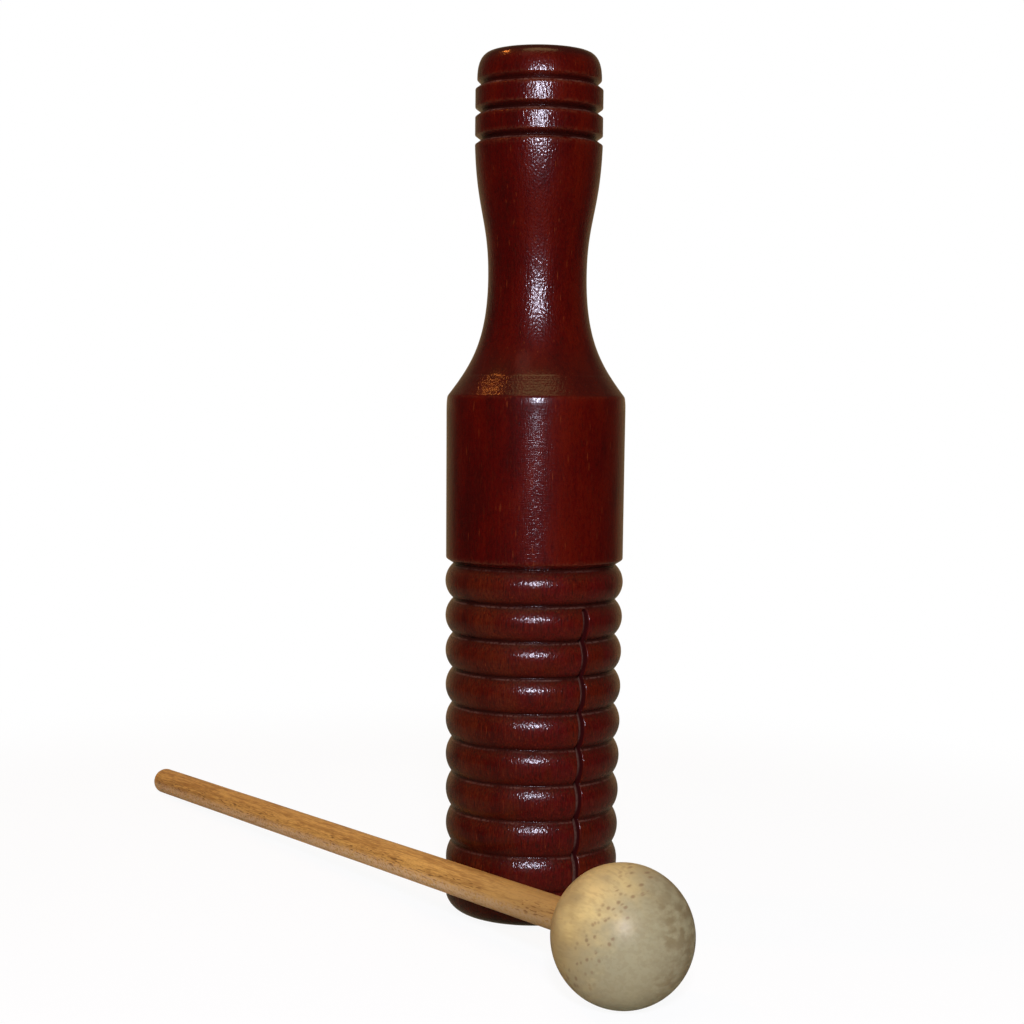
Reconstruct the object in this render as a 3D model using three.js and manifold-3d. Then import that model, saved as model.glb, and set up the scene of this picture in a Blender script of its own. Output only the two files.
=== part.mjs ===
// Turned wooden tone block with its ball-headed mallet.
// The block is one piece of hardwood: a handle above a hollow, beaded barrel that is slit up one side.
// It stands on its open mouth, and the mallet lies beside it on the same surface.
// Millimetres, +Z up. The slit faces -Y, and the mallet lies along Y on the -X side.

import * as THREE from 'three';
import { mergeVertices } from 'three/addons/utils/BufferGeometryUtils.js';
import Module from 'manifold-3d';

const wasm = await Module();
wasm.setup();

// Heights of the block's stretches, from the mouth up
const bandHeight = 8.33;
const beadPitch = 8.17;
const beadCount = 9;
const barrelHeight = 38.9;
const flareHeight = 27.9;
const neckHeight = 30.08;
const capHeight = 6.4;

// Radii of the block
const bandRadius = 20.2;
const valleyRadius = 18.85;
const lowestBeadRadius = 20.12;
const highestBeadRadius = 20.78;
const barrelFootRadius = 20.68;
const shoulderRadius = 20.85;
const waistRadius = 11.45;
const headRingRadius = 14.7;
const capRadius = 14.4;

// Edges and curves of the block
const mouthRounding = 4.9;
const bandEdgeHeight = 3;
const barrelFootBevel = 1.2;
const shoulderLeadIn = 5.2;
const shoulderLeadUp = 6.7;
const waistLeadDown = 15.5;
const waistLeadUp = 12.9;
const headLeadIn = 0.5;
const headLeadDown = 15.1;
const capTaper = 0.25;
const capRounding = 3;

// V grooves round the handle's head
const grooveCount = 3;
const grooveSpacing = 6.33;
const grooveHalfHeight = 1.1;
const grooveDepth = 1.5;

// Bore, and the saw cut that lets the barrel sound
const boreRadius = 13;
const boreDepth = 100;
const boreEasing = 0.5;
const slitWidth = 1.5;
const slitStopBelowValley = 0.8;
const slitDrift = 2;
const cutOverrun = 2;

// Mallet: a dowel glued into a drilled ball
const ballRadius = 14.4;
const ballHoleDepth = 17;
const stickRadius = 3.6;
const stickLength = 242;
const stickEndRounding = 1;
const glueGap = 0.3;

// Where the mallet lies: beside the block, with room to lift straight up past the widest turning
const liftClearance = 0.4;
const ballForward = 72.6;

// Fineness of the faceted surfaces: sides round the axis, and the length of one facet along a curve
const blockSides = 40;
const ballSides = 28;
const stickSides = 16;
const blockFacet = 1.7;
const neckFacet = 3;
const malletFacet = 2.6;

// Derived heights
const topValleyHeight = bandHeight + beadCount * beadPitch;
const shoulderHeight = topValleyHeight + barrelHeight;
const waistHeight = shoulderHeight + flareHeight;
const headHeight = waistHeight + neckHeight;
const capFootHeight = headHeight + (grooveCount - 1) * grooveSpacing + 2 * grooveHalfHeight;
const blockHeight = capFootHeight + capHeight;
const slitStopHeight = topValleyHeight - beadPitch - slitStopBelowValley;
const widestRadius = Math.max(shoulderRadius, barrelFootRadius, highestBeadRadius, lowestBeadRadius, bandRadius);

// Finishes
const stainedHardwood = { color: 0x541014, roughness: 0.32, metalness: 0 };
const beech = { color: 0xbe8c4b, roughness: 0.55, metalness: 0 };
const paleHardwood = { color: 0xcdb482, roughness: 0.5, metalness: 0 };

// Points along an outline: straight stretches keep their ends, and curves get facets of about the given length
function outlinePoints(path, facetLength) {
  const points = [path.curves[0].getPoint(0)];
  for (const curve of path.curves) {
    const length = curve.getLength();
    const steps = curve.isLineCurve ? 1 : Math.max(2, Math.ceil(length / facetLength));
    points.push(...curve.getPoints(steps).slice(1));
  }
  return points;
}

// Closed solid turned from an outline that starts and ends on its axis, which is Y
function turned(points, sides) {
  const lathe = new THREE.LatheGeometry(points, sides);
  lathe.deleteAttribute('normal');
  lathe.deleteAttribute('uv');
  const welded = mergeVertices(lathe);
  const corners = welded.getIndex().array;
  const kept = [];
  for (let i = 0; i < corners.length; i += 3) {
    const [a, b, c] = corners.slice(i, i + 3);
    if (a !== b && b !== c && c !== a) kept.push(a, b, c);
  }
  welded.setIndex(kept);
  return welded;
}

function toManifold(geometry) {
  const vertProperties = new Float32Array(geometry.getAttribute('position').array);
  const triVerts = new Uint32Array(geometry.getIndex().array);
  return new wasm.Manifold(new wasm.Mesh({ numProp: 3, vertProperties, triVerts }));
}

function fromManifold(solid) {
  const mesh = solid.getMesh();
  const geometry = new THREE.BufferGeometry();
  geometry.setAttribute('position', new THREE.BufferAttribute(mesh.vertProperties, 3));
  geometry.setIndex(new THREE.BufferAttribute(mesh.triVerts, 1));
  return geometry;
}

function boxSolid(width, depth, height) {
  const box = new THREE.BoxGeometry(width, depth, height);
  box.deleteAttribute('normal');
  box.deleteAttribute('uv');
  return mergeVertices(box);
}

function namedMesh(name, geometry, finish) {
  const mesh = new THREE.Mesh(geometry, new THREE.MeshStandardMaterial(finish));
  mesh.name = name;
  return mesh;
}

// Inside of the barrel and its rounded mouth, out to the side of the lowest band
function addBoreAndMouth(outline) {
  outline.moveTo(0, boreDepth);
  outline.lineTo(boreRadius, boreDepth);
  outline.lineTo(boreRadius, boreEasing);
  outline.lineTo(boreRadius + boreEasing, 0);
  outline.lineTo(bandRadius - mouthRounding, 0);
  outline.absarc(bandRadius - mouthRounding, mouthRounding, mouthRounding, -Math.PI / 2, 0);
}

// Plain lowest band, then the row of beads: arcs that meet in sharp valleys
function addBandAndBeads(outline) {
  const edgeWidth = bandRadius - valleyRadius;
  outline.lineTo(bandRadius, bandHeight - bandEdgeHeight);
  outline.absellipse(valleyRadius, bandHeight - bandEdgeHeight, edgeWidth, bandEdgeHeight, 0, Math.PI / 2);
  for (let bead = 0; bead < beadCount; bead += 1) {
    const riseShare = bead / (beadCount - 1);
    const crownRadius = THREE.MathUtils.lerp(lowestBeadRadius, highestBeadRadius, riseShare);
    const halfPitch = beadPitch / 2;
    const depth = crownRadius - valleyRadius;
    const arcRadius = (halfPitch ** 2 + depth ** 2) / (2 * depth);
    const halfAngle = Math.asin(halfPitch / arcRadius);
    const middle = bandHeight + bead * beadPitch + halfPitch;
    outline.absarc(crownRadius - arcRadius, middle, arcRadius, -halfAngle, halfAngle);
  }
}

// Plain barrel up to its shoulder
function addBarrel(outline) {
  outline.lineTo(barrelFootRadius, topValleyHeight + barrelFootBevel);
  outline.lineTo(shoulderRadius, shoulderHeight);
}

// Flare in to the waist, and the grip that swells out again to the head
function gripOutline() {
  const grip = new THREE.Path();
  grip.moveTo(shoulderRadius, shoulderHeight);
  grip.bezierCurveTo(
    shoulderRadius - shoulderLeadIn, shoulderHeight + shoulderLeadUp,
    waistRadius, waistHeight - waistLeadDown,
    waistRadius, waistHeight,
  );
  grip.bezierCurveTo(
    waistRadius, waistHeight + waistLeadUp,
    headRingRadius - headLeadIn, headHeight - headLeadDown,
    headRingRadius, headHeight,
  );
  return grip;
}

// Rings between V grooves, and the rounded cap
function headOutline() {
  const head = new THREE.Path();
  head.moveTo(headRingRadius, headHeight);
  for (let groove = 0; groove < grooveCount; groove += 1) {
    const foot = headHeight + groove * grooveSpacing;
    const upperRadius = groove === grooveCount - 1 ? capRadius : headRingRadius;
    if (groove > 0) head.lineTo(headRingRadius, foot);
    head.lineTo(headRingRadius - grooveDepth, foot + grooveHalfHeight);
    head.lineTo(upperRadius, foot + 2 * grooveHalfHeight);
  }
  const sideRadius = capRadius - capTaper;
  head.lineTo(sideRadius, blockHeight - capRounding);
  head.absarc(sideRadius - capRounding, blockHeight - capRounding, capRounding, 0, Math.PI / 2);
  head.lineTo(0, blockHeight);
  return head;
}

// Saw cut from the mouth, through one wall only, drifting a little sideways as it climbs
function slitCutter() {
  const height = slitStopHeight + cutOverrun;
  const depth = widestRadius + cutOverrun;
  const cutter = boxSolid(slitWidth, depth, height);
  cutter.rotateY(Math.atan2(slitDrift, slitStopHeight));
  cutter.translate(0, -depth / 2, slitStopHeight - height / 2);
  return cutter;
}

function toneBlockBody() {
  const lower = new THREE.Path();
  addBoreAndMouth(lower);
  addBandAndBeads(lower);
  addBarrel(lower);
  const points = [
    ...outlinePoints(lower, blockFacet),
    ...outlinePoints(gripOutline(), neckFacet).slice(1),
    ...outlinePoints(headOutline(), blockFacet).slice(1),
  ];
  const blank = turned(points, blockSides);
  blank.rotateX(Math.PI / 2);
  const slit = toManifold(slitCutter());
  return fromManifold(toManifold(blank).subtract(slit));
}

// Ball centred on the origin, drilled from its +Y side
function malletHead() {
  const holeRadius = stickRadius + glueGap;
  const holeFloor = ballRadius - ballHoleDepth;
  const outline = new THREE.Path();
  outline.absarc(0, 0, ballRadius, -Math.PI / 2, Math.acos(holeRadius / ballRadius));
  outline.lineTo(holeRadius, holeFloor);
  outline.lineTo(0, holeFloor);
  return turned(outlinePoints(outline, malletFacet), ballSides);
}

// Dowel along +Y, from the floor of the ball's hole to its rounded tail
const stickStart = ballRadius - ballHoleDepth + glueGap;
const stickTail = stickStart + stickLength;

function malletStick() {
  const outline = new THREE.Path();
  outline.moveTo(0, stickStart);
  outline.lineTo(stickRadius, stickStart);
  outline.lineTo(stickRadius, stickTail - stickEndRounding);
  outline.absarc(stickRadius - stickEndRounding, stickTail - stickEndRounding, stickEndRounding, 0, Math.PI / 2);
  outline.lineTo(0, stickTail);
  return turned(outlinePoints(outline, malletFacet), stickSides);
}

// The mallet rests on its ball and on the lower edge of its tail, so the stick slopes down to the tail
function placedMallet() {
  const reach = stickTail - stickEndRounding;
  const slope = Math.asin(ballRadius / Math.hypot(reach, stickRadius)) - Math.atan(stickRadius / reach);
  const mallet = new THREE.Group();
  mallet.add(namedMesh('mallet_head', malletHead(), paleHardwood));
  mallet.add(namedMesh('mallet_stick', malletStick(), beech));
  mallet.rotation.x = -slope;
  mallet.position.set(-(widestRadius + liftClearance + stickRadius), -ballForward, ballRadius);
  return mallet;
}

const toneBlock = new THREE.Group();
toneBlock.add(namedMesh('tone_block_body', toneBlockBody(), stainedHardwood));
toneBlock.add(placedMallet());

// The origin is the middle of the whole set's footprint, on the surface that it stands on
toneBlock.updateMatrixWorld(true);
const footprint = new THREE.Box3().setFromObject(toneBlock, true);
const middle = footprint.getCenter(new THREE.Vector3());
toneBlock.position.set(-middle.x, -middle.y, -footprint.min.z);
toneBlock.updateMatrixWorld(true);

export default toneBlock;
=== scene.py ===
import math

import bmesh
import bpy
import numpy as np
from mathutils import Matrix, Vector


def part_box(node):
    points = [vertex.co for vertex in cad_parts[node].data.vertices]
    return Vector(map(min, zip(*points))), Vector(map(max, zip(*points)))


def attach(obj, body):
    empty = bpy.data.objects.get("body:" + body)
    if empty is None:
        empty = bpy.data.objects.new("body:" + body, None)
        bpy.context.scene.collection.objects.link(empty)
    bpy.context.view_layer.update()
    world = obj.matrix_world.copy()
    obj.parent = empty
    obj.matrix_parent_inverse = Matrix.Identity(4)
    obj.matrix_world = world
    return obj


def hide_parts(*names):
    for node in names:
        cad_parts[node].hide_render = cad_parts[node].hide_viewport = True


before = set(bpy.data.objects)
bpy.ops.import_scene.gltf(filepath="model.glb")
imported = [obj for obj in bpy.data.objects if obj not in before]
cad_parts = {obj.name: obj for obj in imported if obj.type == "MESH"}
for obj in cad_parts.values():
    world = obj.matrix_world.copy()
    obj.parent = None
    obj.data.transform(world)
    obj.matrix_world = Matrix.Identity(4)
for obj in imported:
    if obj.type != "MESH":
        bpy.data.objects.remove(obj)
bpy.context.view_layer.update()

# Tone block body
# One piece of straight-grained hardwood, turned between centres, bored out from its mouth and sawn up one
# side. It is stained a deep red, with painted shade in its cuts, and lacquered to a gloss.
mm = 0.001
block_low, block_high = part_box("tone_block_body")
block_axis = Vector(((block_low.x + block_high.x) / 2, (block_low.y + block_high.y) / 2, 0))
block_height = block_high.z

mouth_rounding = 4.9 * mm
band_radius = 20.2 * mm
band_height = 8.33 * mm
band_edge_height = 3 * mm
bead_count = 9
bead_pitch = 8.17 * mm
valley_radius = 18.85 * mm
lowest_bead_radius = 20.12 * mm
highest_bead_radius = 20.78 * mm
barrel_foot_radius = 20.68 * mm
barrel_foot_bevel = 1.2 * mm
barrel_height = 38.9 * mm
shoulder_radius = 20.85 * mm
shoulder_fall = 0.18 * mm
shoulder_fall_height = 3.2 * mm
shoulder_lead_in = 5.2 * mm
shoulder_lead_up = 6.7 * mm
flare_height = 27.9 * mm
waist_lead_down = 15.5 * mm
waist_lead_up = 12.9 * mm
neck_height = 30.08 * mm
head_lead_in = 0.5 * mm
head_lead_down = 15.1 * mm
waist_radius = 11.45 * mm
head_ring_radius = 14.8 * mm
groove_count = 3
groove_spacing = 6.33 * mm
groove_half_height = 1.1 * mm
groove_depth = 1.5 * mm
cap_radius = 14.4 * mm
cap_swell = 0.08 * mm
cap_lead_up = 4.3 * mm
cap_lead_in = 2.6 * mm
cap_flat_radius = 10.5 * mm
bore_radius = 13 * mm
bore_depth = 100 * mm
bore_easing = 0.5 * mm

top_valley_height = band_height + bead_count * bead_pitch
shoulder_height = top_valley_height + barrel_height
waist_height = shoulder_height + flare_height
head_height = waist_height + neck_height

# How finely each kind of stretch is divided, and how far its corners are rounded
bore_step = 3.3 * mm
plain_step = 1.1 * mm
sweep_step = 0.8 * mm
curve_step = 0.4 * mm
soft_edge = 0.35 * mm
crisp_edge = 0.15 * mm
corner_steps = 4


def straight(start, end, step):
    """Points of a straight stretch of an outline, each (distance from the axis, height)."""
    start, end = Vector(start), Vector(end)
    count = max(1, math.ceil((end - start).length / step))
    return [start.lerp(end, i / count) for i in range(count + 1)]


def rounded(centre, across, up, first, last, step):
    """Points of part of an ellipse, between two angles in degrees, where 0 points away from the axis."""
    count = max(2, math.ceil(math.radians(abs(last - first)) * max(across, up) / step))
    angles = np.radians(np.linspace(first, last, count + 1))
    return [Vector((centre[0] + across * math.cos(a), centre[1] + up * math.sin(a))) for a in angles]


def swept(start, leave, arrive, end, step):
    """Points of a smooth curve that leaves start towards leave, and comes into end from arrive."""
    start, leave, arrive, end = (Vector(point) for point in (start, leave, arrive, end))
    count = math.ceil((end - start).length / step)
    points = []
    for t in np.linspace(0, 1, count + 1):
        left, passing, right = start.lerp(leave, t), leave.lerp(arrive, t), arrive.lerp(end, t)
        points.append(left.lerp(passing, t).lerp(passing.lerp(right, t), t))
    return points


def cut_back(points, length):
    """The points without the last stretch of that length."""
    kept = list(points)
    while len(kept) > 1 and (kept[-1] - kept[-2]).length <= length:
        length -= (kept[-1] - kept[-2]).length
        kept.pop()
    if len(kept) > 1:
        kept[-1] = kept[-1].lerp(kept[-2], length / (kept[-1] - kept[-2]).length)
    return kept


def joined(stretches):
    """One outline from pairs of points and an easing, which rounds the corner with the next stretch."""
    outline = list(stretches[0][0])
    for (_, easing), (following, _) in zip(stretches, stretches[1:]):
        if easing == 0:
            outline += following[1:]
            continue
        corner = outline[-1]
        before = cut_back(outline, easing)
        after = cut_back(following[::-1], easing)[::-1]
        rounding = [
            before[-1].lerp(corner, t).lerp(corner.lerp(after[0], t), t)
            for t in np.linspace(0, 1, corner_steps + 1)[1:-1]
        ]
        outline = before + rounding + after
    return outline


def block_outline():
    """Half the block's section: from the bore's end, over the mouth's rim and up the outside to the top."""
    up = []

    def add(points, easing=0):
        up.append((points, easing))

    bore_mouth = (bore_radius + bore_easing, 0)
    add(straight((0, bore_depth), (bore_radius, bore_depth), bore_step), soft_edge)
    add(straight((bore_radius, bore_depth), (bore_radius, bore_easing), bore_step))
    add(straight((bore_radius, bore_easing), bore_mouth, curve_step))
    rim_edge = band_radius - mouth_rounding
    add(straight(bore_mouth, (rim_edge, 0), curve_step))
    add(rounded((rim_edge, mouth_rounding), mouth_rounding, mouth_rounding, -90, 0, curve_step))
    band_edge = band_radius - valley_radius
    band_top = band_height - band_edge_height
    add(straight((band_radius, mouth_rounding), (band_radius, band_top), plain_step))
    add(rounded((valley_radius, band_top), band_edge, band_edge_height, 0, 90, curve_step), crisp_edge)
    for bead in range(bead_count):
        share = bead / (bead_count - 1)
        crown = lowest_bead_radius + share * (highest_bead_radius - lowest_bead_radius)
        depth = crown - valley_radius
        sweep = ((bead_pitch / 2) ** 2 + depth**2) / (2 * depth)
        lean = math.degrees(math.asin(bead_pitch / 2 / sweep))
        middle = band_height + (bead + 0.5) * bead_pitch
        add(rounded((crown - sweep, middle), sweep, sweep, -lean, lean, curve_step), crisp_edge)
    barrel_foot = (barrel_foot_radius, top_valley_height + barrel_foot_bevel)
    fall_foot = (shoulder_radius, shoulder_height - shoulder_fall_height)
    fall_lead = (shoulder_radius, shoulder_height - shoulder_fall_height / 2)
    shoulder = (shoulder_radius - shoulder_fall, shoulder_height)
    add(straight((valley_radius, top_valley_height), barrel_foot, curve_step), soft_edge)
    add(straight(barrel_foot, fall_foot, plain_step))
    add(swept(fall_foot, fall_lead, fall_lead, shoulder, curve_step), soft_edge)
    flare_foot = (shoulder_radius - shoulder_lead_in, shoulder_height + shoulder_lead_up)
    flare_top = (waist_radius, waist_height - waist_lead_down)
    waist = (waist_radius, waist_height)
    add(swept(shoulder, flare_foot, flare_top, waist, sweep_step))
    neck_foot = (waist_radius, waist_height + waist_lead_up)
    neck_top = (head_ring_radius - head_lead_in, head_height - head_lead_down)
    add(swept(waist, neck_foot, neck_top, (head_ring_radius, head_height), sweep_step), crisp_edge)
    for groove in range(groove_count):
        foot = head_height + groove * groove_spacing
        above = foot + 2 * groove_half_height
        last = groove == groove_count - 1
        upper_radius = cap_radius if last else head_ring_radius
        apex = (head_ring_radius - groove_depth, foot + groove_half_height)
        add(straight((head_ring_radius, foot), apex, curve_step), crisp_edge)
        add(straight(apex, (upper_radius, above), curve_step), crisp_edge)
        if not last:
            ring_top = (head_ring_radius, foot + groove_spacing)
            add(straight((head_ring_radius, above), ring_top, curve_step), crisp_edge)
    side_lead = (cap_radius + cap_swell, above + cap_lead_up)
    flat_lead = (cap_flat_radius + cap_lead_in, block_height)
    flat = (cap_flat_radius, block_height)
    add(swept((cap_radius, above), side_lead, flat_lead, flat, curve_step))
    add(straight(flat, (0, block_height), plain_step))
    return joined(up)


# Saw cut up one side of the barrel, its edges broken with sandpaper. Its sides meet a hair above its stop.
kerf = 1.5 * mm
cut_stop_below_valley = 0.8 * mm
cut_stop = top_valley_height - bead_pitch - cut_stop_below_valley
cut_drift = 2 * mm
cut_drift_return = 0.3
cut_edge = 0.3 * mm
cut_edge_steps = 6
hair = 0.002 * mm
seam_overlap = 1.5 * hair
stop_margin = 5 * hair
weld_distance = 2 * hair

# How far to each side a crest is judged, and how proud it stands where the stain is rubbed off it
crest_reach = 0.8 * mm
crest_rise = crest_reach / 3
crest_dullness = 0.2


def with_rows_at(outline, heights):
    """The outline with extra points where it crosses the given heights."""
    rows = [outline[0]]
    for before, after in zip(outline, outline[1:]):
        low, high = sorted((before.y, after.y))
        shares = [(h - before.y) / (after.y - before.y) for h in heights if low < h < high]
        rows += [before.lerp(after, share) for share in sorted(shares)]
        rows.append(after)
    return rows


def hollows(outline):
    """For each point, how deep it lies under a rule laid on the outline, from 0 to 1 in the deepest cuts."""
    radius = np.array([point.x for point in outline])
    height = np.array([point.y for point in outline])
    near = np.abs(height[:, None] - height[None, :]) < bead_pitch / 2
    crest = np.where(near, radius[None, :], -np.inf).max(axis=1)
    rule = np.where(near, crest[None, :], np.inf).min(axis=1)
    return np.clip((rule - radius) / groove_depth, 0, 1)


def crests(outline):
    """For each point, how far it stands proud of what lies close by, from 0 to 1 at the sharp edges."""
    places = np.array([tuple(point) for point in outline])
    along = np.concatenate(([0], np.cumsum(np.linalg.norm(np.diff(places, axis=0), axis=1))))
    before = np.column_stack([np.interp(along - crest_reach, along, places[:, axis]) for axis in (0, 1)])
    after = np.column_stack([np.interp(along + crest_reach, along, places[:, axis]) for axis in (0, 1)])
    across = after - before
    outwards = np.column_stack((across[:, 1], -across[:, 0])) / np.linalg.norm(across, axis=1)[:, None]
    proud = ((places - (before + after) / 2) * outwards).sum(axis=1)
    return np.clip(proud / crest_rise - crest_dullness, 0, 1)


def outline_object(name, outline, marks):
    """An object of bare edges that holds an outline, with a number on each point for each named mark."""
    mesh = bpy.data.meshes.new(name)
    edges = [(i, i + 1) for i in range(len(outline) - 1)]
    mesh.from_pydata([(point.x, 0, point.y) for point in outline], edges, [])
    for mark, values in marks.items():
        mesh.attributes.new(mark, "FLOAT", "POINT").data.foreach_set("value", values)
    piece = bpy.data.objects.new(name, mesh)
    bpy.context.scene.collection.objects.link(piece)
    return piece


def wire(tree, socket, value):
    """Feeds a socket from another socket, or sets it."""
    value = value.socket if isinstance(value, Amount) else value
    if isinstance(value, bpy.types.NodeSocket):
        tree.links.new(value, socket)
    else:
        socket.default_value = value


def place(tree, kind, inputs=None, **settings):
    """Adds a node to a tree with its settings and inputs."""
    node = tree.nodes.new(kind)
    for setting, value in settings.items():
        setattr(node, setting, value)
    for socket, value in (inputs or {}).items():
        wire(tree, node.inputs[socket], value)
    return node


class Amount:
    """A number that a tree works out, so that its sums read as sums."""

    def __init__(self, tree, socket):
        self.tree = tree
        self.socket = socket

    def to(self, operation, *others, first=True):
        """The result of one of the Math node's operations on this amount and others."""
        terms = (self, *others) if first else (*others, self)
        node = place(self.tree, "ShaderNodeMath", dict(enumerate(terms)), operation=operation)
        return Amount(self.tree, node.outputs[0])

    def __add__(self, other):
        return self.to("ADD", other)

    def __sub__(self, other):
        return self.to("SUBTRACT", other)

    def __rsub__(self, other):
        return self.to("SUBTRACT", other, first=False)

    def __mul__(self, other):
        return self.to("MULTIPLY", other)

    def __truediv__(self, other):
        return self.to("DIVIDE", other)


def turning_tree():
    """The tree that turns an outline into a piece: it spins the outline round its axis, and saws a slit."""
    tree = bpy.data.node_groups.new("turning", "GeometryNodeTree")
    sockets = {
        "Outline": "NodeSocketGeometry",
        "Sides": "NodeSocketInt",
        "Kerf": "NodeSocketFloat",
        "Cut Stop": "NodeSocketFloat",
        "Cut Drift": "NodeSocketFloat",
        "Cut Edge": "NodeSocketFloat",
        "Waver": "NodeSocketFloat",
        "Waver Length": "NodeSocketFloat",
        "Seed": "NodeSocketFloat",
        "Material": "NodeSocketMaterial",
    }
    for name, kind in sockets.items():
        tree.interface.new_socket(name=name, in_out="INPUT", socket_type=kind)
    tree.interface.new_socket(name="Piece", in_out="OUTPUT", socket_type="NodeSocketGeometry")
    given = place(tree, "NodeGroupInput").outputs
    outline = given["Outline"]
    sides, kerf_width, stop, drift, edge, waver, waver_length, seed = (
        Amount(tree, given[name]) for name in list(sockets)[1:9]
    )
    half = kerf_width * 0.5
    end_centre = stop - half

    def at(row):
        """Distance from the axis and height of a row of the outline."""
        position = place(tree, "GeometryNodeInputPosition").outputs[0]
        sample = place(
            tree,
            "GeometryNodeSampleIndex",
            {"Geometry": outline, "Value": position, "Index": row},
            data_type="FLOAT_VECTOR",
            clamp=True,
        )
        parts = place(tree, "ShaderNodeSeparateXYZ", {0: sample.outputs[0]}).outputs
        return Amount(tree, parts["X"]), Amount(tree, parts["Z"])

    def facing_out(row):
        """How much of a row's outward direction points straight away from the axis, from -1 to 1."""
        before, lower = at(row - 1)
        after, upper = at(row + 1)
        across, rise = after - before, upper - lower
        return rise / ((across * across) + (rise * rise)).to("SQRT")

    def past_end(height):
        return (height - end_centre).to("MAXIMUM", 0)

    def opening(height, outside):
        """Half the width of the line that runs round the slit at a distance outside its edge."""
        reach, past = half + outside, past_end(height)
        return ((reach * reach) - (past * past)).to("MAXIMUM", 0).to("SQRT")

    def slit_centre(height):
        """Sideways place of the saw cut, which drifts as it climbs and is in the middle past its stop."""
        returned = stop * (1 + cut_drift_return)
        fade = ((returned - height) / (stop * cut_drift_return)).to("MINIMUM", 1).to("MAXIMUM", 0)
        return (height / stop - 0.5) * drift * fade

    def set_positions(geometry, x, y, z):
        position = place(tree, "ShaderNodeCombineXYZ", {0: x, 1: y, 2: z}).outputs[0]
        moved = place(tree, "GeometryNodeSetPosition", {"Geometry": geometry, "Position": position})
        return moved.outputs[0]

    rows = Amount(tree, place(tree, "GeometryNodeAttributeDomainSize", {0: outline}).outputs["Point Count"])
    last_column = sides + 2 * cut_edge_steps
    index = Amount(tree, place(tree, "GeometryNodeInputIndex").outputs[0])
    columns = last_column + 1
    skin = place(tree, "GeometryNodeMeshGrid", {"Vertices X": columns, "Vertices Y": rows}).outputs[0]
    row = index.to("MODULO", rows)
    column = (index - row) / rows
    side = column.to("GREATER_THAN", last_column * 0.5 - 0.5) * 2 - 1
    from_seam = column.to("MINIMUM", last_column - column)
    turn_in = (1 - from_seam / cut_edge_steps).to("MAXIMUM", 0)
    round_share = ((from_seam - cut_edge_steps) / (sides * 0.5)).to("MAXIMUM", 0)
    radius, height = at(row)
    sideways = opening(height, edge * (1 - (turn_in * (math.pi / 2)).to("SINE")))
    past = past_end(height)
    clear = ((sideways * sideways) + (past * past)).to("SQRT") - half - seam_overlap
    within = edge - clear.to("MINIMUM", edge)
    sunk = edge - ((edge * edge) - (within * within)).to("MAXIMUM", 0).to("SQRT")
    edge_radius = radius - facing_out(row) * sunk
    seam_x = slit_centre(height) + side * sideways
    seam_angle = (seam_x / edge_radius).to("MAXIMUM", -1).to("MINIMUM", 1).to("ARCSINE")
    angle = seam_angle + (side * math.pi - seam_angle) * round_share
    skin = set_positions(skin, edge_radius * angle.to("SINE"), edge_radius * angle.to("COSINE") * -1, height)
    for mark in ("hollow", "inside", "crest"):
        value = place(tree, "GeometryNodeInputNamedAttribute", {"Name": mark}, data_type="FLOAT").outputs[0]
        sources = {"Geometry": outline, "Value": value, "Index": row}
        carried = place(tree, "GeometryNodeSampleIndex", sources, data_type="FLOAT")
        skin = place(
            tree,
            "GeometryNodeStoreNamedAttribute",
            {"Geometry": skin, "Name": mark, "Value": carried.outputs[0]},
            data_type="FLOAT",
        ).outputs[0]

    row_radius, row_height = at(index)
    flat = set_positions(outline, row_radius - facing_out(index) * edge, row_height, 0)
    position = place(tree, "GeometryNodeInputPosition").outputs[0]
    spot = place(tree, "ShaderNodeSeparateXYZ", {0: position}).outputs
    across, along = Amount(tree, spot["X"]), Amount(tree, spot["Y"])
    above = along.to("GREATER_THAN", stop + stop_margin)
    flat = place(tree, "GeometryNodeDeleteGeometry", {"Geometry": flat, "Selection": above}).outputs[0]
    loop = place(tree, "GeometryNodeMeshToCurve", {0: flat}).outputs[0]
    loop = place(tree, "GeometryNodeSetSplineCyclic", {"Geometry": loop, "Cyclic": True}).outputs[0]
    wall = place(tree, "GeometryNodeFillCurve", {0: loop}, mode="TRIANGLES").outputs[0]
    pieces = [skin]
    for sign in (-1, 1):
        x = slit_centre(along) + opening(along, 0) * sign
        y = ((across * across) - (x * x)).to("MAXIMUM", 0).to("SQRT") * -1
        sawn = set_positions(wall, x, y, along)
        pieces.append(
            place(
                tree,
                "GeometryNodeStoreNamedAttribute",
                {"Geometry": sawn, "Name": "sawn", "Value": 1.0},
                data_type="FLOAT",
                domain="CORNER",
            ).outputs[0]
        )
    whole = place(tree, "GeometryNodeJoinGeometry")
    for piece in reversed(pieces):
        tree.links.new(piece, whole.inputs[0])
    whole = place(
        tree, "GeometryNodeMergeByDistance", {"Geometry": whole.outputs[0], "Distance": weld_distance}
    )

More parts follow.
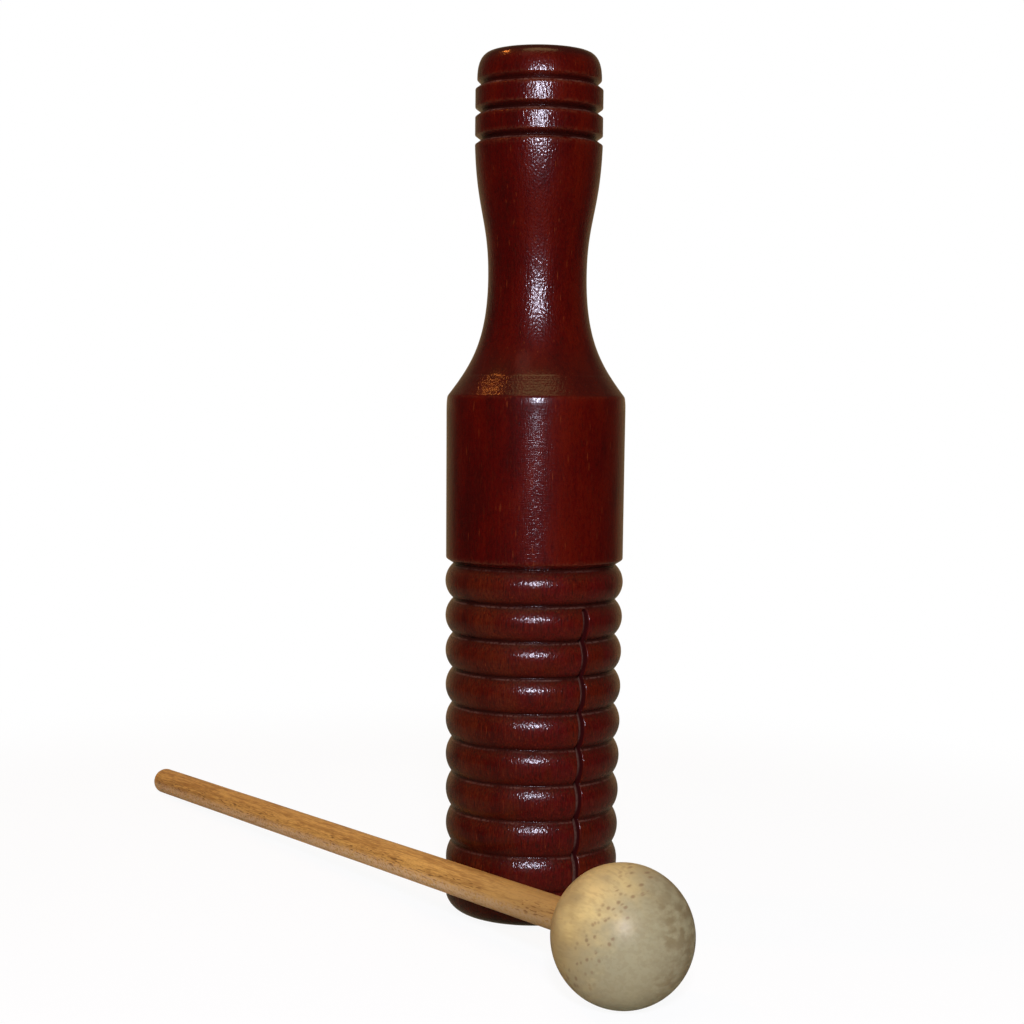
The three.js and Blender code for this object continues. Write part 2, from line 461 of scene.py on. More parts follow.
    swell = place(
        tree,
        "ShaderNodeTexNoise",
        {"Vector": position, "W": seed, "Scale": waver_length.to("DIVIDE", 1, first=False), "Detail": 1.0},
        noise_dimensions="4D",
    ).outputs[0]
    level = place(tree, "ShaderNodeVectorMath", {0: position, 1: (1, 1, 0)}, operation="MULTIPLY")
    outwards = place(tree, "ShaderNodeVectorMath", {0: level.outputs[0]}, operation="NORMALIZE").outputs[0]
    push = (Amount(tree, swell) - 0.5) * waver * 2
    offset = place(tree, "ShaderNodeVectorMath", {0: outwards, "Scale": push}, operation="SCALE").outputs[0]
    shaped = place(tree, "GeometryNodeSetPosition", {"Geometry": whole.outputs[0], "Offset": offset})
    shaped = place(tree, "GeometryNodeSetShadeSmooth", {"Geometry": shaped.outputs[0]}).outputs[0]
    shaped = place(tree, "GeometryNodeRealizeInstances", {0: shaped}).outputs[0]
    finished = place(tree, "GeometryNodeSetMaterial", {"Geometry": shaped, "Material": given["Material"]})
    place(tree, "NodeGroupOutput", {0: finished.outputs[0]})
    return tree


turning = turning_tree()


def turned(name, outline, marks, material, position, **sizes):
    """A finished piece turned from an outline, with its place in its mesh."""
    piece = outline_object(name, outline, marks)
    modifier = piece.modifiers.new("turning", "NODES")
    modifier.node_group = turning
    values = {size.replace("_", " ").title(): value for size, value in sizes.items()}
    values["Material"] = material
    for item in turning.interface.items_tree:
        if item.in_out == "INPUT" and item.name in values:
            modifier[item.identifier] = values[item.name]
    evaluated = piece.evaluated_get(bpy.context.evaluated_depsgraph_get())
    mesh = bpy.data.meshes.new_from_object(evaluated)
    piece.modifiers.clear()
    bare = piece.data
    piece.data = mesh
    bpy.data.meshes.remove(bare)
    mesh.name = name
    work = bmesh.new()
    work.from_mesh(mesh)
    bmesh.ops.recalc_face_normals(work, faces=work.faces)
    work.to_mesh(mesh)
    work.free()
    mesh.transform(position)
    return piece


def new_material(name):
    """A material with its tree, and its surface shader."""
    material = bpy.data.materials.new(name)
    material.use_nodes = True
    return material, material.node_tree, material.node_tree.nodes["Principled BSDF"]


def pattern(tree, centre, size=(1, 1, 1), turn=(0, 0, 0)):
    """Object coordinates from a centre, on axes that are turned by angles, counted in steps of a size."""
    coordinates = place(tree, "ShaderNodeTexCoord").outputs["Object"]
    inputs = {"Vector": coordinates, "Location": centre, "Rotation": turn, "Scale": size}
    return place(tree, "ShaderNodeMapping", inputs, vector_type="TEXTURE").outputs[0]


def grain(tree, vector, detail=2.0, distortion=0.0):
    """Cloudy pattern from 0 to 1 on coordinates that are already in steps of its size."""
    inputs = {"Vector": vector, "Scale": 1.0, "Detail": detail, "Distortion": distortion}
    return Amount(tree, place(tree, "ShaderNodeTexNoise", inputs).outputs[0])


def specks(tree, vector, size, softness):
    """Specks that are 1 in their middle and 0 outside, one in each cell of the coordinates."""
    cells = place(tree, "ShaderNodeTexVoronoi", {"Vector": vector, "Scale": 1.0})
    return ramp(Amount(tree, cells.outputs["Distance"]), size + softness, size)


def ramp(amount, low, high):
    """The amount's way from low to high, from 0 to 1."""
    inputs = {"Value": amount, "From Min": low, "From Max": high}
    node = place(amount.tree, "ShaderNodeMapRange", inputs, interpolation_type="SMOOTHSTEP")
    return Amount(amount.tree, node.outputs[0])


def blend(tree, share, first, second):
    """One colour mixed into another."""
    return place(tree, "ShaderNodeMix", {0: share, 6: first, 7: second}, data_type="RGBA").outputs[2]


def mark_of(tree, name):
    """A number that the mesh carries."""
    return Amount(tree, place(tree, "ShaderNodeAttribute", attribute_name=name).outputs["Fac"])


def parts_of(tree, vector):
    """The three numbers of a vector."""
    return [Amount(tree, socket) for socket in place(tree, "ShaderNodeSeparateXYZ", {0: vector}).outputs]


def relief(tree, surface, height):
    """Raises the surface by a height that is given in millimetres."""
    bump = place(tree, "ShaderNodeBump", {"Strength": 1.0, "Distance": mm, "Height": height}).outputs[0]
    wire(tree, surface.inputs["Normal"], bump)
    return bump


def towards(tree, coordinates, direction):
    """How far a place lies in a direction."""
    product = place(tree, "ShaderNodeVectorMath", {0: coordinates, 1: direction}, operation="DOT_PRODUCT")
    return Amount(tree, product.outputs["Value"])


def between(amount, band):
    """1 on a band that is given by four amounts: where it sets in, is full, starts to fade and has ended."""
    sets_in, full, fading, ended = band
    return ramp(amount, sets_in, full) * ramp(amount, ended, fading)


def layered(tree, base, layers):
    """A base colour with others laid over it in turn, each given as its share and its colour."""
    for share, colour in layers:
        base = blend(tree, share, base, colour)
    return base


def on_block(tree, size):
    """Coordinates on the block in steps of a size: its width across the grain and its length along it."""
    across, along = size
    return pattern(tree, block_axis, (across, across, along))


# Width across the grain and length along it of the marks in the block's wood, stain and lacquer
zone_size = (6 * mm, 18 * mm)
streak_size = (0.8 * mm, 12 * mm)
fibre_size = (0.3 * mm, 2.6 * mm)
mottle_size = (0.5 * mm, 0.9 * mm)
patch_size = (2 * mm, 8 * mm)
fleck_size = (0.6 * mm, 6 * mm)
pore_size = (0.8 * mm, 4.5 * mm)
ripple_size = (0.44 * mm, 0.56 * mm)
lathe_mark_size = (7 * mm, 0.24 * mm)
sanding_size = (1.6 * mm, 0.17 * mm)

# Heights of the unevenness in the lacquer, in millimetres
ripple_rise = 0.058
fibre_rise = 0.062
plain_fibre_rise = 0.020
speckle_rise = 0.03
pore_sink = 0.010
flare_mark_rise = 0.045
plain_sanding_rise = 0.037
faint_rise = 0.004

# Bands with a look of their own. The barrel counts up from the beads, the shoulder and the flare from the
# shoulder, a groove and the cap from their feet, and a bead from -1 at its foot to 1 at its top.
cap_height = head_height + groove_count * groove_spacing
bead_fade = 2 * mm
head_fade = 2 * mm
barrel_band = (1 * mm, 3 * mm, barrel_height - 4 * mm, barrel_height - 2 * mm)
shoulder_band = (-3.6 * mm, -2 * mm, 0, 0.5 * mm)
flare_shade_band = (0, 0.5 * mm, 4 * mm, 14 * mm)
flare_foot_band = (0, 0.3 * mm, 4 * mm, 5.4 * mm)
flare_middle_band = (4.6 * mm, 5 * mm, 10 * mm, 16 * mm)
# Bands of painted reflection: a pale line on the lower face of each groove and along each bead's top edge
groove_sheen_band = (0.10 * mm, 0.35 * mm, 0.50 * mm, 0.80 * mm)
bead_sheen_band = (0.82, 0.89, 0.91, 0.96)
cap_foot = (-0.8 * mm, 0.5 * mm)
last_groove_top = (-0.5 * mm, -1 * mm)

# Painted light makes the red brighter and richer towards the block's right side as the camera sees it, and
# painted warm light makes the beads browner towards its left. The stain soaked a little way into the saw
# cut's walls.
lit_right_side = (0.84, -0.54, 0)
lit_red_edge = (-14 * mm, 12 * mm)
warm_light_edge = (4 * mm, -14 * mm)
lit_crimson_edge = (-12 * mm, 4 * mm)
speckled_edge = (-5 * mm, -9 * mm)
soak_edge = (1.44 * mm, 2.16 * mm)
bead_relief = (lowest_bead_radius + highest_bead_radius) / 2 - valley_radius


def place_in_cut(tree):
    """How deep a place lies inside the beads' side, and how high it lies on its own bead, from -1 to 1."""
    across, along, up = parts_of(tree, pattern(tree, block_axis))
    radius = ((across * across) + (along * along)).to("SQRT")
    bead_place = ((up - band_height) / bead_pitch).to("MAXIMUM", 0.5).to("FRACT") * 2 - 1
    return valley_radius + bead_relief - radius - bead_place * bead_place * bead_relief, bead_place


def stained_hardwood():
    material, tree, surface = new_material("stained_hardwood")
    deep, red, bright = (0.031, 0.0012, 0.0007, 1), (0.048, 0.0009, 0.0004, 1), (0.071, 0.0030, 0.0004, 1)
    # Painted light: the first tone here is partly warm light on the beads' left, the second a sheen on their
    # tops
    thin_stain_and_warm_light, bead_top_sheen = (0.068, 0.0100, 0.0022, 1), (0.045, 0.0100, 0.0032, 1)
    # Painted light: the first tone here richens the beads' red on the right; orange is for flecks
    lit_crimson, orange = (0.066, 0.0026, 0.0024, 1), (0.140, 0.0260, 0.0060, 1)
    # First tone: stain gathered in fibres and pores, and painted shade in the cuts and on the flare's foot
    gathered_stain_and_shade, thin_fibre = (0.019, 0.0032, 0.0020, 1), (0.105, 0.0130, 0.0034, 1)
    # The last tone here is a painted reflection: a pale line in the grooves and along the beads' top edges
    worn_edge, line_sheen = (0.130, 0.0420, 0.0160, 1), (0.150, 0.072, 0.050, 1)
    bare_wood, soaked_wood = (0.135, 0.064, 0.045, 1), (0.036, 0.0036, 0.0036, 1)
    bore_wood = (0.110, 0.0440, 0.0230, 1)

    zones = grain(tree, on_block(tree, zone_size), detail=3, distortion=0.5)
    streaks = grain(tree, on_block(tree, streak_size), detail=3, distortion=0.3)
    fibres = grain(tree, on_block(tree, fibre_size))
    mottle = grain(tree, on_block(tree, mottle_size), detail=3)
    patches = ramp(grain(tree, on_block(tree, patch_size)), 0.54, 0.62)
    flecks = specks(tree, on_block(tree, fleck_size), size=0.10, softness=0.12)
    pores = specks(tree, on_block(tree, pore_size), size=0.12, softness=0.14)
    ripple = grain(tree, on_block(tree, ripple_size), detail=0)
    lathe_marks = grain(tree, on_block(tree, lathe_mark_size), detail=1)
    sanding = grain(tree, on_block(tree, sanding_size), detail=2)
    hollow, inside, sawn, crest = (mark_of(tree, name) for name in ("hollow", "inside", "sawn", "crest"))

    height = parts_of(tree, pattern(tree, block_axis))[2]
    over_beads, over_shoulder = height - top_valley_height, height - shoulder_height
    over_neck, over_cap = height - head_height, height - cap_height
    in_groove = (over_neck / groove_spacing).to("FRACT") * groove_spacing
    cut_depth, bead_place = place_in_cut(tree)
    beaded = ramp(over_beads, bead_fade, -bead_fade)
    plain = between(over_beads, barrel_band)
    on_head = ramp(over_neck, -head_fade, 0)
    rightwards = towards(tree, pattern(tree, block_axis), lit_right_side)

    shade = streaks * 0.15 + zones * 0.45 + fibres * 0.25 + mottle * 0.40
    # Painted light: brighter red to the right, and on the beads browner to the left and richer red to the
    # right
    shade = shade + ramp(rightwards, *lit_red_edge) * 0.07 - 0.155
    warm_light_share = ramp(rightwards, *warm_light_edge) * 0.5 + 0.35
    lit_crimson_share = ramp(rightwards, *lit_crimson_edge) * 0.85
    broken = ramp(ripple, 0.3, 0.7)
    # A line of painted reflection on the lower face of each head groove and along each bead's top edge
    sheen_line = ramp(over_cap, *last_groove_top) * on_head * between(in_groove, groove_sheen_band)
    sheen_line = sheen_line + beaded * between(bead_place, bead_sheen_band) * 0.6
    bare = ramp(cut_depth, *soak_edge) * ramp(bead_place, -1.0, -0.1)
    bare = bare * (ramp(ripple, 0.3, 0.6) * 0.4 + 0.6)
    layers = [
        (ramp(shade, 0.38, 0.50), red),
        (ramp(shade, 0.48, 0.62), bright),
        # Partly random tone, partly painted light: browner to the beads' left, richer red to their right
        (beaded * ramp(zones, 0.30, 0.60) * warm_light_share, thin_stain_and_warm_light),
        (beaded * ramp(zones, 0.64, 0.44) * lit_crimson_share, lit_crimson),
        # Painted sheen on the upper part of each bead
        (beaded * ramp(bead_place, 0.1, 0.8) * broken * 0.8, bead_top_sheen),
        (beaded * ramp(mottle, 0.46, 0.60) * 0.5, red),
        (ramp(mottle, 0.54, 0.70) * 0.45, deep),
        (ramp(fibres, 0.53, 0.70) * (beaded * 0.35 + 0.25), gathered_stain_and_shade),
        (ramp(fibres, 0.46, 0.30) * (beaded * 0.30 + 0.20), thin_fibre),
        (flecks * patches * 0.6, orange),
        (pores * (beaded * 0.5 + 0.25), gathered_stain_and_shade),
        (beaded * ramp(streaks, 0.50, 0.66) * 0.30, gathered_stain_and_shade),
        (crest * broken * 0.25, worn_edge),
        # Painted shade: darker in the deepest cuts, towards the beads' valleys and in the head's grooves
        (ramp(hollow, 0.70, 1.0) * 0.8, gathered_stain_and_shade),
        (beaded * ramp(hollow, 0.25, 0.95) * 0.5, gathered_stain_and_shade),
        (on_head * ramp(hollow, 0.10, 0.60) * 0.7, gathered_stain_and_shade),
        # Painted reflection: the pale line in each groove and along each bead's top edge
        (sheen_line * ramp(ripple, 0.25, 0.6) * ramp(zones, 0.30, 0.60) * 0.8, line_sheen),
        # Painted shade on the flare's foot
        (between(over_shoulder, flare_shade_band) * 0.45, gathered_stain_and_shade),
        (inside, bore_wood),
        (sawn, blend(tree, bare, soaked_wood, bare_wood)),
    ]
    wire(tree, surface.inputs["Base Color"], layered(tree, deep, layers))

    wire(tree, surface.inputs["Roughness"], streaks * 0.2 + 0.36 + sawn * 0.4)
    surface.inputs["IOR"].default_value = 1.3
    surface.inputs["Specular IOR Level"].default_value = 0.06
    wire(tree, surface.inputs["Coat Weight"], (1 - inside.to("MAXIMUM", sawn)) * (1 - plain * 0.25))
    surface.inputs["Coat Roughness"].default_value = 0.18
    surface.inputs["Coat IOR"].default_value = 1.28

    flared = between(over_shoulder, flare_foot_band)
    smooth = between(over_shoulder, shoulder_band) + plain * 1.1 + flared * 0.3
    smooth = smooth + between(over_shoulder, flare_middle_band) + ramp(over_cap, *cap_foot)
    calm = 1 - smooth.to("MINIMUM", 1.1) * 0.70
    speckled = flared * ramp(rightwards, *speckled_edge)
    uneven = (ripple * ripple_rise + fibres * fibre_rise) * calm + fibres * plain * plain_fibre_rise
    uneven = uneven + ripple * speckled * speckle_rise - pores * pore_sink
    uneven = uneven + lathe_marks * (flared * flare_mark_rise + faint_rise)
    uneven = uneven + sanding * (plain * plain_sanding_rise + faint_rise)
    bump = relief(tree, surface, uneven)
    wire(tree, surface.inputs["Coat Normal"], bump)
    return material


# Extra rows of the outline, round the saw cut's stop and up the broken edge above it
stop_angles = (0, 20, 40, 60, 75)
stop_edge_shares = (0.15, 0.35, 0.6, 1.0)
kerf_rows = [cut_stop - kerf / 2 + (kerf / 2) * math.sin(math.radians(angle)) for angle in stop_angles]
kerf_rows += [cut_stop + hair] + [cut_stop + cut_edge * share for share in stop_edge_shares]
body_outline = with_rows_at(block_outline(), kerf_rows)
outside_starts = max(i for i, point in enumerate(body_outline) if point.y <= 0.0)
is_outside = np.arange(len(body_outline)) >= outside_starts
body = turned(
    "tone_block",
    body_outline,
    {
        "hollow": np.where(is_outside, hollows(body_outline), 0.0),
        "crest": np.where(is_outside, crests(body_outline), 0.0),
        "inside": np.where(is_outside, 0.0, 1.0),
    },
    stained_hardwood(),
    Matrix.Translation(block_axis),
    sides=150,
    kerf=kerf,
    cut_stop=cut_stop,
    cut_drift=cut_drift,
    cut_edge=cut_edge,
    waver=0.03 * mm,
    waver_length=25 * mm,
    seed=3.0,
)
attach(body, "block")
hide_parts("tone_block_body")

# Mallet head
# A ball of pale hardwood turned on its own, sanded and waxed.
# It is drilled blind on one side for the stick, which is glued in.
head_low, head_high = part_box("mallet_head")
ball_radius = 14.4 * mm
ball_centre = Vector(((head_low.x + head_high.x) / 2, head_low.y + ball_radius, ball_radius))
stick_radius = 3.6 * mm
stick_length = 242 * mm
stick_end_rounding = 1 * mm
hole_floor = -2.6 * mm
hole_radius = 3.62 * mm
stick_start = -2.3 * mm
stick_tail = stick_start + stick_length
tail_reach = stick_tail - stick_end_rounding
slope = math.asin(ball_radius / math.hypot(tail_reach, stick_radius)) - math.atan(stick_radius / tail_reach)
mallet_place = Matrix.Translation(ball_centre) @ Matrix.Rotation(-(math.pi / 2 + slope), 4, "X")
no_cut = {"kerf": 0.0, "cut_stop": -1.0, "cut_drift": 0.0, "cut_edge": 0.0}

# The ball's grain runs level, a little to one side of the stick, and its growth rings lie across it at a
# slant. Its clouds and its fine figure run along the stick.
ball_grain = (math.radians(50), math.radians(22), math.radians(29))
mallet_lie = (-slope, 0, 0)
cloud_size = (5 * mm, 9 * mm, 6 * mm)
hairline_size = (0.40 * mm, 4 * mm, 0.40 * mm)
figure_size = (0.7 * mm, 5 * mm, 0.7 * mm)
wave_size = (2.6 * mm, 13 * mm, 1.6 * mm)
ring_size = (30 * mm, 1.5 * mm, 12 * mm)
vessel_size = (8 * mm, 1.35 * mm, 1.35 * mm)
speckle_size = (1.3 * mm, 0.9 * mm, 0.9 * mm)

# Its sapwood and its browner heartwood lie on different sides. Painted light makes it paler towards its top,
# painted shade darkens the side away from its heartwood and greys the side away from its sapwood, which
# is its lower side. Each colour's edge is measured from the ball's middle, towards its top, its sapwood or
# its heartwood.
sap_side = (-0.62, 0.61, 0.50)
heart_side = (0.81, -0.58, 0)
drift_width = 16 * mm
light_edge = (-4 * mm, 11 * mm)
shade_edge = (-4 * mm, -12 * mm)
shaded_grey_edge = (13 * mm, -2 * mm)
tan_edge = (1 * mm, 13 * mm)
speckle_edge = (6 * mm, 0)
figure_edge = (0, 8 * mm)
vessel_edge = (-1 * mm, 1 * mm)
vessel_thinning = (8 * mm, 5 * mm)

# Heights of the ball's unevenness, in millimetres
hairline_rise = 0.006
cloud_rise = 0.02
vessel_sink = 0.015


def pale_hardwood():
    material, tree, surface = new_material("pale_hardwood")
    cream, straw, brown = (0.53, 0.425, 0.165, 1), (0.35, 0.268, 0.100, 1), (0.16, 0.092, 0.042, 1)
    shaded_grey, tan = (0.256, 0.243, 0.140, 1), (0.165, 0.125, 0.057, 1)
    clouds = grain(tree, pattern(tree, ball_centre, cloud_size, mallet_lie))
    fine = grain(tree, pattern(tree, ball_centre, hairline_size, mallet_lie), detail=3)
    figure = grain(tree, pattern(tree, ball_centre, figure_size, mallet_lie), detail=2)
    waves = grain(tree, pattern(tree, ball_centre, wave_size, mallet_lie), detail=3)
    rings = grain(tree, pattern(tree, ball_centre, ring_size, ball_grain), distortion=0.2)
    vessels = specks(tree, pattern(tree, ball_centre, vessel_size, ball_grain), size=0.10, softness=0.34)
    speckles = grain(tree, pattern(tree, ball_centre, speckle_size, ball_grain), detail=2)

    up = parts_of(tree, pattern(tree, ball_centre))[2]
    sap = towards(tree, pattern(tree, ball_centre), sap_side)
    heart = towards(tree, pattern(tree, ball_centre), heart_side)
    drift = (clouds - 0.5) * drift_width
    crowded = ramp(rings, 0.36, 0.46) * ramp(sap, *vessel_edge) * (ramp(sap, *vessel_thinning) * 0.8 + 0.2)

    # Painted light makes the top paler, and painted shade darkens the side away from the heartwood
    lighter = clouds * 0.6 + fine * 0.1 + figure * 0.3 + ramp(up, *light_edge) * 0.16 - 0.07
    lighter = lighter - ramp(heart, *shade_edge) * 0.13
    layers = [
        (ramp(lighter, 0.36, 0.60), cream),
        # Painted shade greys the lower side, away from the sapwood side
        (ramp(sap + drift, *shaded_grey_edge) * 0.9, shaded_grey),
        (ramp(heart + drift, *tan_edge) * ramp(waves, 0.34, 0.62) * 0.8, tan),
        (ramp(speckles, 0.42, 0.62) * ramp(sap, *speckle_edge) * 0.18, tan),
        (ramp(figure, 0.42, 0.68) * ramp(sap, *figure_edge) * 0.25, tan),
        (vessels * crowded * 0.65, brown),
    ]
    wire(tree, surface.inputs["Base Color"], layered(tree, straw, layers))
    wire(tree, surface.inputs["Roughness"], fine * 0.2 + 0.30)
    surface.inputs["IOR"].default_value = 1.4
    surface.inputs["Specular IOR Level"].default_value = 0.25
    relief(tree, surface, fine * hairline_rise + clouds * cloud_rise - vessels * crowded * vessel_sink)
    return material


mouth_angle = math.degrees(math.acos(hole_radius / ball_radius))
mouth_height = ball_radius * math.sin(math.radians(mouth_angle))
ball_outline = joined(
    [
        (rounded((0, 0), ball_radius, ball_radius, -90, mouth_angle, sweep_step), soft_edge),
        (straight((hole_radius, mouth_height), (hole_radius, hole_floor), plain_step), 0),
        (straight((hole_radius, hole_floor), (0, hole_floor), plain_step), 0),
    ]
)
ball = turned(
    "mallet_ball",
    ball_outline,
    {},
    pale_hardwood(),
    mallet_place,
    sides=112,
    **no_cut,
    waver=0.12 * mm,
    waver_length=18 * mm,
    seed=8.0,
)
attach(ball, "mallet")
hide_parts("mallet_head")

# Mallet stick
# A plain beech dowel, sanded and left with a thin satin finish, its tail rounded over.
# Its front end is glued into the ball's hole.
long_streak_size = (0.8 * mm, 22 * mm, 0.8 * mm)
beech_fibre_size = (0.22 * mm, 3.5 * mm, 0.22 * mm)
beech_mottle_size = (0.6 * mm, 0.8 * mm, 0.6 * mm)
ray_size = (0.32 * mm, 2.6 * mm, 0.32 * mm)
ray_patch_size = (3 * mm, 9 * mm, 3 * mm)

# Flecks show most on a band of the stick's side, in shares of its radius. Painted light makes it paler
# below, and it is duller near the ball. Rays and fibres stand out or sink by so many millimetres.
fleck_band = (-0.35, 0, 0.35, 0.75)
pale_edge = (0.25, -0.30)
dull_edge = (80 * mm, 20 * mm)
beech_fibre_rise = 0.006
ray_sink = 0.010


def beech():
    material, tree, surface = new_material("beech")
    tan, honey, fleck = (0.35, 0.182, 0.038, 1), (0.60, 0.365, 0.086, 1), (0.17, 0.076, 0.020, 1)
    pale, dull = (0.66, 0.500, 0.290, 1), (0.26, 0.168, 0.056, 1)
    streaks = grain(tree, pattern(tree, ball_centre, long_streak_size, mallet_lie), detail=3)
    fine = grain(tree, pattern(tree, ball_centre, beech_fibre_size, mallet_lie))
    mottle = grain(tree, pattern(tree, ball_centre, beech_mottle_size, mallet_lie))
    rays = ramp(grain(tree, pattern(tree, ball_centre, ray_size, mallet_lie), detail=1), 0.56, 0.66)
    crowded = ramp(grain(tree, pattern(tree, ball_centre, ray_patch_size, mallet_lie)), 0.38, 0.52)
    _, reach, height = parts_of(tree, pattern(tree, ball_centre, turn=mallet_lie))
    level = height / stick_radius

    layers = [
        (ramp(streaks * 0.5 + fine * 0.5, 0.39, 0.59), honey),
        (ramp(mottle, 0.45, 0.65) * 0.25, tan),
        # Painted light makes the underside paler
        (ramp(level, *pale_edge) * ramp(mottle, 0.30, 0.62) * 0.80, pale),
        (ramp(reach, *dull_edge) * 0.7, dull),
        (rays * crowded * (between(level, fleck_band) * 0.75 + 0.12), fleck),
    ]
    wire(tree, surface.inputs["Base Color"], layered(tree, tan, layers))
    wire(tree, surface.inputs["Roughness"], fine * 0.2 + 0.40)
    surface.inputs["IOR"].default_value = 1.4
    surface.inputs["Specular IOR Level"].default_value = 0.3
    relief(tree, surface, fine * beech_fibre_rise - rays * crowded * ray_sink)
    return material


stick_step = 2.2 * mm
tail_step = 0.2 * mm
tail_flat = stick_radius - stick_end_rounding
tail_edge = rounded((tail_flat, tail_reach), stick_end_rounding, stick_end_rounding, 0, 90, tail_step)
stick_outline = joined(
    [
        (straight((0, stick_start), (stick_radius, stick_start), plain_step), soft_edge),
        (straight((stick_radius, stick_start), (stick_radius, tail_reach), stick_step), 0),
        (tail_edge, 0),
        (straight((tail_flat, stick_tail), (0, stick_tail), plain_step), 0),
    ]
)
stick = turned(
    "mallet_dowel",
    stick_outline,
    {},
    beech(),
    mallet_place,
    sides=72,
    **no_cut,
    waver=0.04 * mm,
    waver_length=30 * mm,
    seed=5.0,
)
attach(stick, "mallet")
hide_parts("mallet_stick")

# Table top
# A pale round sheet that the set stands on. Seen directly it is white, keeps a soft shadow and fades into
# the white surroundings. The lacquer mirrors it dim and warm.
floor_radius = 300 * mm
fade_start = 150 * mm
fade_end = 294 * mm
white_share = 0.93
sheet_seen, sheet_lit = (0.88, 0.91, 0.95, 1), (0.76, 0.75, 0.69, 1)
sheet_white, sheet_mirrored = (1, 1, 1, 1), (0.20, 0.155, 0.10, 1)


def seen_directly(tree):
    """1 for what the camera sees, straight or through a clear body, and 1 for what a gloss mirrors."""
    paths = place(tree, "ShaderNodeLightPath").outputs
    direct = Amount(tree, paths["Is Camera Ray"]).to("MAXIMUM", paths["Is Transmission Ray"])
    return direct, Amount(tree, paths["Is Glossy Ray"])


def bare_material(name):
    """A material with its tree, without a surface shader, and the socket that takes one."""
    material, tree, surface = new_material(name)
    tree.nodes.remove(surface)
    return material, tree, tree.nodes["Material Output"].inputs["Surface"]


def pale_sheet():
    material, tree, finish = bare_material("pale_sheet")
    coordinates = place(tree, "ShaderNodeTexCoord").outputs["Object"]
    distance = place(tree, "ShaderNodeVectorMath", {0: coordinates}, operation="LENGTH").outputs["Value"]
    fade = ramp(Amount(tree, distance), fade_start, fade_end)
    direct, mirrored = seen_directly(tree)
    paper = place(tree, "ShaderNodeBsdfDiffuse", {"Color": blend(tree, direct, sheet_lit, sheet_seen)})
    glow = blend(tree, mirrored, sheet_white, sheet_mirrored)
    white = place(tree, "ShaderNodeEmission", {"Color": glow, "Strength": 1.0})
    share = (direct * (fade * (1 - white_share) + white_share)).to("MAXIMUM", mirrored)
    mixed = place(tree, "ShaderNodeMixShader", {0: share, 1: paper.outputs[0], 2: white.outputs[0]})
    wire(tree, finish, mixed.outputs[0])
    return material


def staged(name, make_shape, material):
    """A mesh of the surroundings, which is no part of the object."""
    mesh = bpy.data.meshes.new(name)
    work = bmesh.new()
    make_shape(work)
    work.to_mesh(mesh)
    work.free()
    mesh.materials.append(material)
    piece = bpy.data.objects.new(name, mesh)
    bpy.context.scene.collection.objects.link(piece)
    return piece


def disc(work):
    bmesh.ops.create_circle(work, cap_ends=True, segments=96, radius=floor_radius)


floor = staged("floor", disc, pale_sheet())

# Room
# The surroundings are white to the camera. A dim room stands round the set, out of the camera's sight, with
# a lit wall behind the set that the dark lacquer mirrors. That wall also gives the wood a pale fill.
camera_azimuth = math.radians(-32.75)
behind_the_set = (-math.sin(camera_azimuth), math.cos(camera_azimuth), 0)
room_radius = 1.6

# Edges of the wall's parts, in shares of the room's radius, upwards or towards the lit wall
ceiling_edge = (0.2, 0.8)
lit_wall_edge = (0.48, 0.82)
lit_wall_top = (0.08, 0.28)
back_fill_edge = (0.1, 0.8)
dim_wall, lit_wall, ceiling = (0.030, 0.026, 0.022, 1), (0.38, 0.245, 0.125, 1), (0.080, 0.062, 0.042, 1)
back_fill = (0.80, 0.78, 0.76, 1)
sky_seen, sky_lit = (1, 1, 1, 1), (0.15, 0.13, 0.11, 1)


def room_walls():
    material, tree, finish = bare_material("room_walls")
    coordinates = place(tree, "ShaderNodeTexCoord").outputs["Object"]
    back = towards(tree, coordinates, behind_the_set) / room_radius
    up = parts_of(tree, coordinates)[2] / room_radius
    wall = blend(tree, ramp(up, *ceiling_edge), dim_wall, ceiling)
    lit = ramp(back, *lit_wall_edge) * (1 - ramp(up, *lit_wall_top) * 0.4)
    wall = blend(tree, lit, wall, lit_wall)
    filled = blend(tree, ramp(back, *back_fill_edge), wall, back_fill)
    mirrored = seen_directly(tree)[1]
    glow = blend(tree, mirrored, filled, wall)
    glow = place(tree, "ShaderNodeEmission", {"Color": glow, "Strength": 1.0})
    wire(tree, finish, glow.outputs[0])
    return material


def inward_ball(work):
    bmesh.ops.create_icosphere(work, subdivisions=4, radius=room_radius)
    bmesh.ops.reverse_faces(work, faces=work.faces)


room = staged("room", inward_ball, room_walls())
room.visible_camera = False
room.visible_shadow = False

world = bpy.data.worlds.new("white_surroundings")
world.use_nodes = True
bpy.context.scene.world = world
sky = world.node_tree
direct, mirrored = seen_directly(sky)
sky_colour = blend(sky, direct.to("MAXIMUM", mirrored), sky_lit, sky_seen)
wire(sky, sky.nodes["Background"].inputs["Color"], sky_colour)
sky.nodes["Background"].inputs["Strength"].default_value = 1.0


# Lamps
# A cool flash close to the camera, a small warm lamp high on the left, a weak rosy one between them, and a
# lit patch of ceiling overhead. All of them aim at the middle of the block.
def round_the_block(azimuth, distance, height):
    """A place round the block's axis, at an angle in degrees to the right of the camera's side."""
    turn = camera_azimuth + math.radians(azimuth)
    return block_axis + Vector((math.sin(turn) * distance, -math.cos(turn) * distance, height))


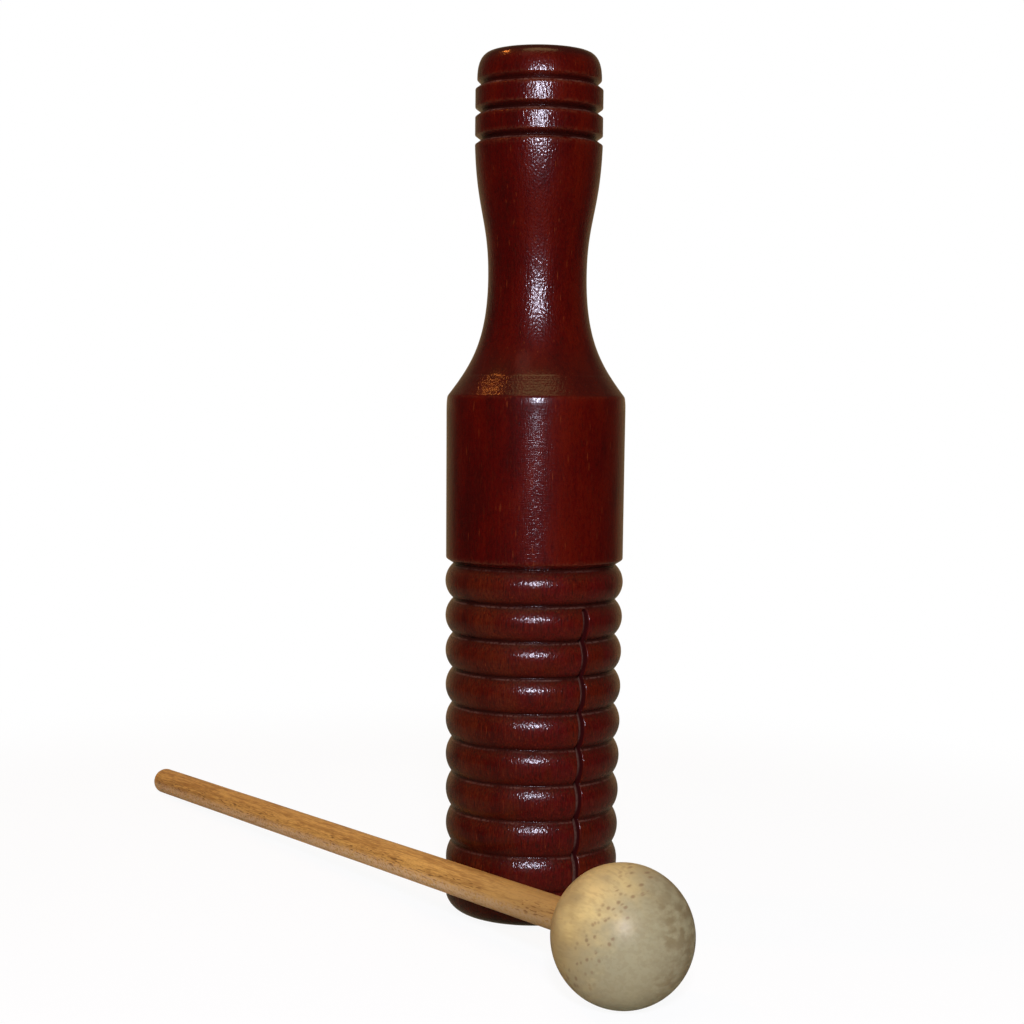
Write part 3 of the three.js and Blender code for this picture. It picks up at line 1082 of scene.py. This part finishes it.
def lamp(name, place_at, width, depth, power, colour):
    light = bpy.data.lights.new(name, "AREA")
    light.shape = "ELLIPSE"
    light.size = width
    light.size_y = depth
    light.energy = power
    light.color = colour
    piece = bpy.data.objects.new(name, light)
    bpy.context.scene.collection.objects.link(piece)
    piece.location = place_at
    piece.rotation_mode = "QUATERNION"
    block_middle = block_axis + Vector((0, 0, block_height / 2))
    piece.rotation_quaternion = (block_middle - place_at).to_track_quat("-Z", "Y")


flash_place = round_the_block(azimuth=1.4, distance=516 * mm, height=260 * mm)
warm_place = round_the_block(azimuth=-99, distance=590 * mm, height=960 * mm)
side_place = round_the_block(azimuth=-30, distance=520 * mm, height=820 * mm)
overhead_place = round_the_block(azimuth=0, distance=220 * mm, height=1100 * mm)
lamp("flash", flash_place, width=60 * mm, depth=60 * mm, power=3.6, colour=(0.80, 0.80, 1.0))
lamp("warm_lamp", warm_place, width=90 * mm, depth=90 * mm, power=2.2, colour=(1.0, 0.28, 0.05))
lamp("side_lamp", side_place, width=320 * mm, depth=300 * mm, power=0.28, colour=(1.0, 0.42, 0.32))
lamp("overhead", overhead_place, width=720 * mm, depth=360 * mm, power=2.4, colour=(1.0, 0.68, 0.30))

# Camera
# It stands a little above the middle of the block, on the side where the slit shows at the right.
# Its place, its lens and its small turns were solved from the spacing of the grooves.
camera_distance = 453.644 * mm
camera_height = 121.323 * mm
camera_tilt = math.radians(3.473)
camera_roll = math.radians(0.5947)
camera_pan = math.radians(0.674)
sensor_width = 36.0
lens_length = 68.276

camera_data = bpy.data.cameras.new("camera")
camera_data.sensor_width = sensor_width
camera_data.lens = lens_length
camera = bpy.data.objects.new("camera", camera_data)
bpy.context.scene.collection.objects.link(camera)
camera.matrix_world = (
    Matrix.Translation(round_the_block(0, camera_distance, camera_height))
    @ Matrix.Rotation(camera_azimuth + camera_pan, 4, "Z")
    @ Matrix.Rotation(math.pi / 2 - camera_tilt, 4, "X")
    @ Matrix.Rotation(camera_roll, 4, "Z")
)
bpy.context.scene.camera = camera
bpy.context.scene.view_settings.view_transform = "Standard"
